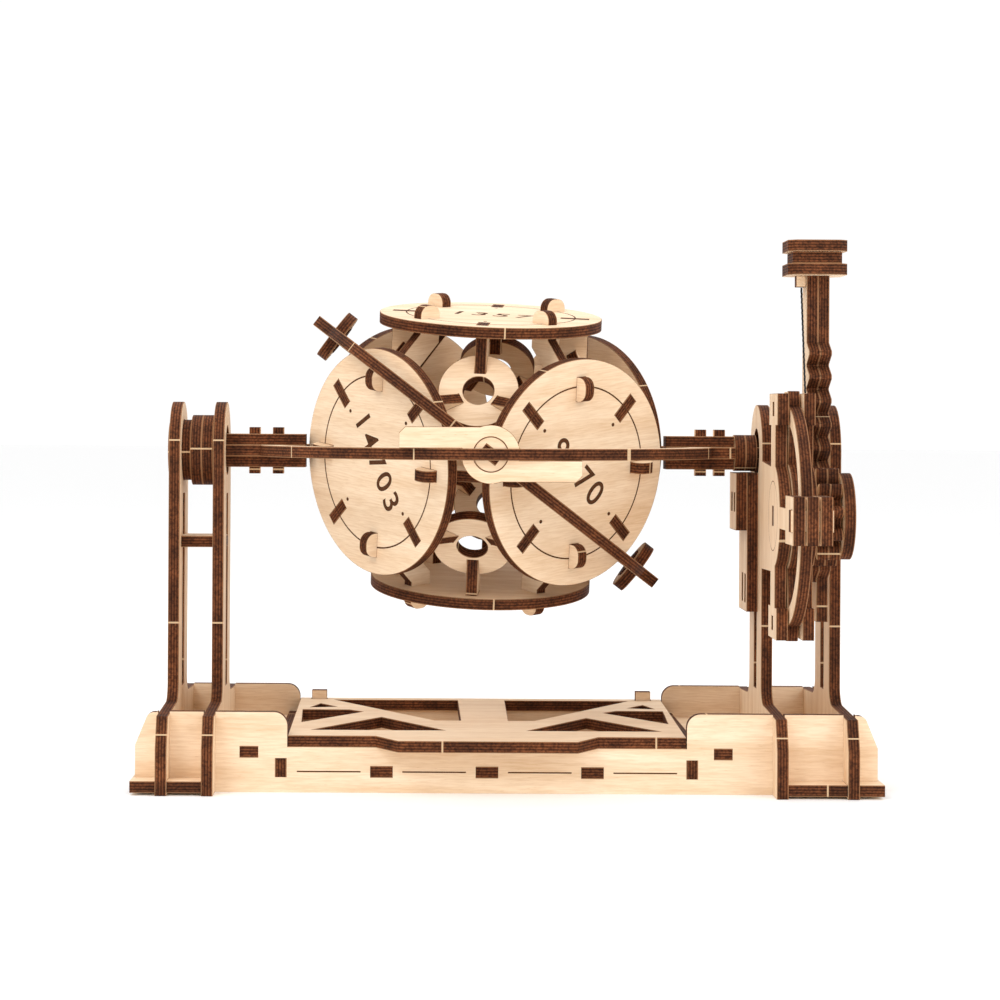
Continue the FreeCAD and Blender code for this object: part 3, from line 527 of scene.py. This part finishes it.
def engrave_panel():
    """Broken line along the front panel, between the tabs of the floor."""
    tab_pitch = 27.25
    gap = 5.4
    half_width = 0.18
    run = tab_pitch - 2 * gap
    origin = Vector((BALL_CENTRE.x, PANEL_FRONT, PANEL_LINE_Z))
    place = axes_matrix(origin, Vector((1, 0, 0)), Vector((0, 0, 1)))

    def build(bm):
        for step in (-1, 0, 1, 2):
            start = (step - 1) * tab_pitch + gap
            add_bar(bm, start, start + run, -half_width, half_width)

    mesh_piece("panel_lines", build, place, "frame", ENGRAVED)


engrave_discs()
engrave_panel()


# ---------------------------------------------------------------- return thread

def twisted_loop(bm, centre, turned):
    """One cross-section of the thread: a round with three low lobes, turned by an angle."""
    loop = []
    for side in range(THREAD_SIDES):
        angle = 2 * math.pi * side / THREAD_SIDES
        reach = THREAD_RADIUS * (1 - LOBE_DEPTH + LOBE_DEPTH * math.cos(3 * angle))
        offset = Vector((reach * math.cos(angle + turned), reach * math.sin(angle + turned), 0))
        loop.append(bm.verts.new(centre + offset))
    return loop


def make_thread():
    """Twisted elastic thread from the tab under the knob to the top block of the cheek."""
    low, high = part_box("return_elastic")
    top = high / MM
    foot = low / MM

    def build(bm):
        steps = [step / THREAD_STEPS for step in range(THREAD_STEPS + 1)]
        loops = [twisted_loop(bm, foot.lerp(top, t), t * THREAD_TWIST) for t in steps]
        for a, b in zip(loops, loops[1:]):
            for side in range(THREAD_SIDES):
                after = (side + 1) % THREAD_SIDES
                bm.faces.new((a[side], a[after], b[after], b[side]))
        bm.faces.new(list(reversed(loops[0])))
        bm.faces.new(loops[-1])

    piece = mesh_piece("thread", build, Matrix.Identity(4), "frame", THREAD)
    for polygon in piece.data.polygons:
        polygon.use_smooth = True
    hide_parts("return_elastic")
    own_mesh(piece)


make_thread()


# ---------------------------------------------------------------- floor, light and camera

def area_light(name, place, target, size, power):
    """A square soft light aimed at a point."""
    data = bpy.data.lights.new(name, "AREA")
    data.size = size
    data.energy = power
    light = bpy.data.objects.new(name, data)
    light.location = place
    light.rotation_euler = (Vector(target) - Vector(place)).to_track_quat("-Z", "Y").to_euler()
    bpy.context.scene.collection.objects.link(light)


def make_floor():
    """Pale matt floor."""
    bpy.ops.mesh.primitive_plane_add(size=12.0, location=(0, 2.0, 0))
    floor = bpy.context.object
    floor.name = "floor"
    s = Shader("pale_floor")
    s.bsdf.inputs["Base Color"].default_value = (0.95, 0.95, 0.95, 1.0)
    s.bsdf.inputs["Roughness"].default_value = 0.8
    floor.data.materials.append(s.material)


def make_light():
    """White surroundings and three soft lights; plain tones keep the white and the brown clean."""
    world = bpy.data.worlds.new("white_room")
    world.use_nodes = True
    back = world.node_tree.nodes["Background"]
    back.inputs["Color"].default_value = (*WHITE, 1.0)
    back.inputs["Strength"].default_value = 1.03
    bpy.context.scene.world = world
    bpy.context.scene.view_settings.view_transform = "Standard"
    aim = (0, 0, 0.07)
    area_light("key_light", (-0.55, -0.75, 0.85), aim, 0.5, 4.5)
    area_light("fill_light", (0.75, -0.6, 0.5), aim, 0.7, 3.0)
    area_light("top_light", (0.0, 0.25, 1.0), aim, 0.6, 2.0)


def make_camera():
    """Long lens, a little to the left of the ball and a little above its centre."""
    data = bpy.data.cameras.new("camera")
    data.lens = LENS
    data.shift_x, data.shift_y = LENS_SHIFT
    camera = bpy.data.objects.new("camera", data)
    turn = Matrix.Rotation(CAMERA_ROLL, 4, "Y") @ Matrix.Rotation(math.radians(90), 4, "X")
    camera.matrix_world = Matrix.Translation(Vector(CAMERA_PLACE) * MM) @ turn
    bpy.context.scene.collection.objects.link(camera)
    bpy.context.scene.camera = camera


make_floor()
make_light()
make_camera()
